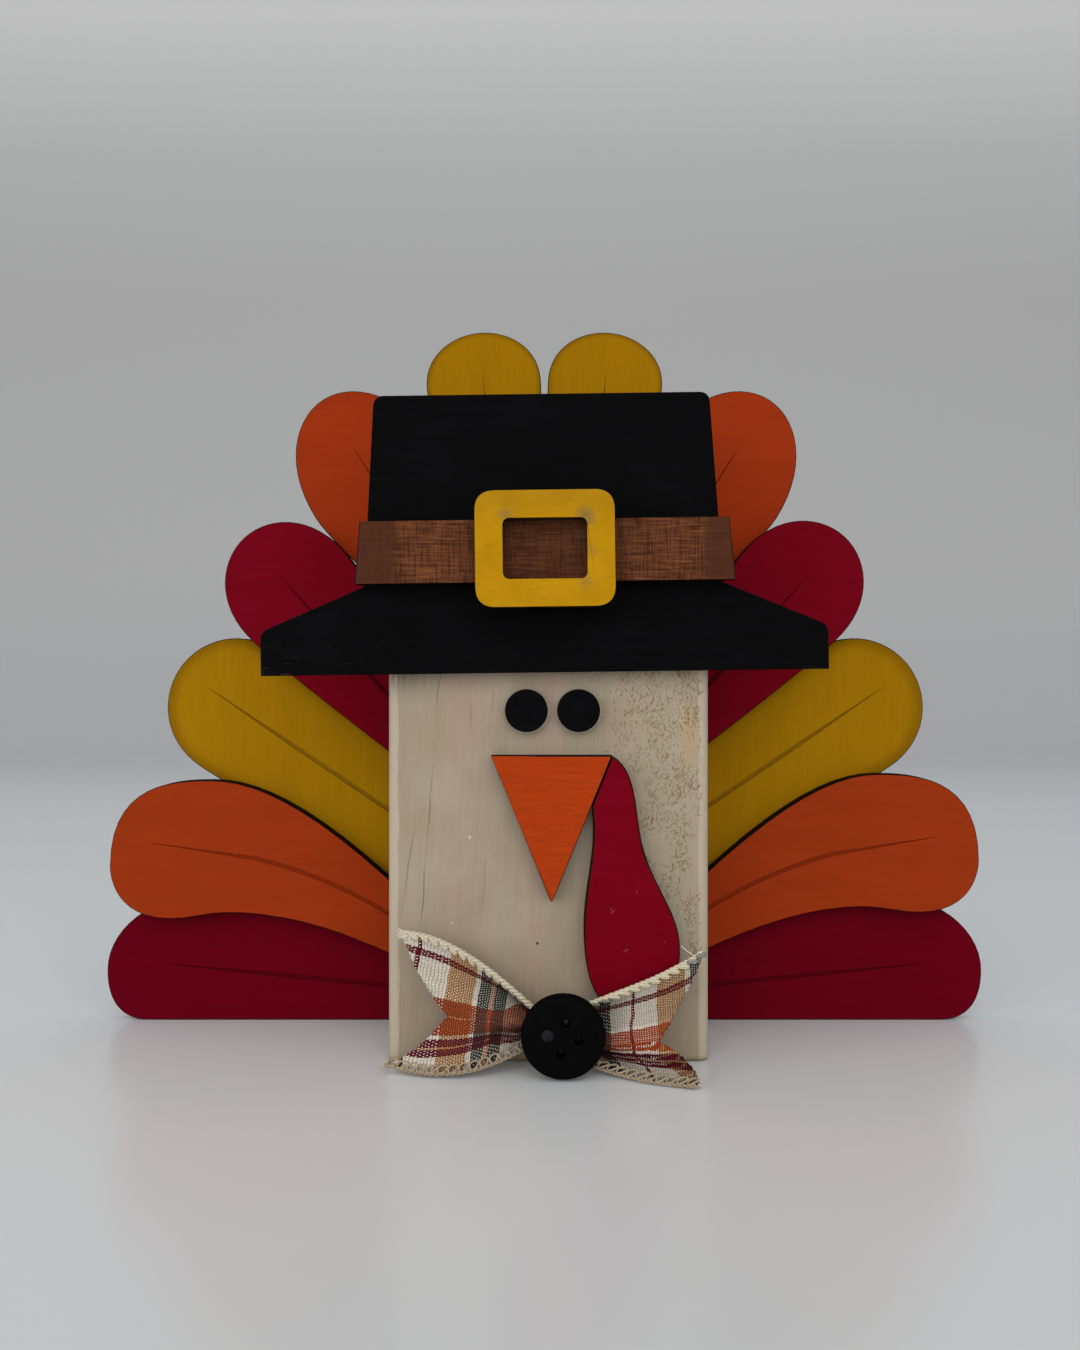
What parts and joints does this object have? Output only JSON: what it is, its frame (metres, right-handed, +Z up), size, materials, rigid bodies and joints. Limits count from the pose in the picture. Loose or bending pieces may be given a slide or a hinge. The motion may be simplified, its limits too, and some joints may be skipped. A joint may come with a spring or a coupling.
{
  "type": "thanksgiving turkey figure",
  "caption": "Free-standing turkey decoration: lumber block body, fan of painted plywood feathers, pilgrim hat with buckle, cut-out face, plaid ribbon bow and button.",
  "frame": {"origin": "middle of the block's underside, on the surface that the figure stands on", "axes": "+Z up, the face looks along -Y, +X to the right as seen from the front"},
  "size_m": [0.272, 0.0762, 0.2123],
  "materials": {
    "whitewashed_lumber": "pale tan whitewash over planed softwood, matt, upright grain",
    "red_paint": "dark crimson paint on plywood, matt, burnt edges",
    "orange_paint": "burnt orange paint on plywood, matt, faint brush grain, burnt edges",
    "yellow_paint": "mustard yellow paint on plywood, matt, faint grain, burnt edges",
    "black_paint": "black paint on plywood, matt with faint scuffs",
    "brown_stain": "dark brown stain with a cross-hatched grain",
    "plaid_ribbon": "open plain weave in cream, orange, maroon, tan and charcoal checks, looped edges",
    "black_plastic": "matt black moulded plastic"
  },
  "bodies": {
    "root": {"body_block": "whitewashed_lumber", "feather_bottom_red_left": "red_paint", "feather_bottom_red_right": "red_paint", "feather_lower_orange_left": "orange_paint", "feather_lower_orange_right": "orange_paint", "feather_middle_yellow_left": "yellow_paint", "feather_middle_yellow_right": "yellow_paint", "feather_upper_red_left": "red_paint", "feather_upper_red_right": "red_paint", "feather_upper_orange_left": "orange_paint", "feather_upper_orange_right": "orange_paint", "feather_top_yellow_left": "yellow_paint", "feather_top_yellow_right": "yellow_paint", "hat": "black_paint", "hat_band": "brown_stain", "hat_buckle": "yellow_paint", "eye_left": "black_paint", "eye_right": "black_paint", "beak": "orange_paint", "wattle": "red_paint", "bow_ribbon": "plaid_ribbon", "button": "black_plastic"}
  },
  "joints": []
}
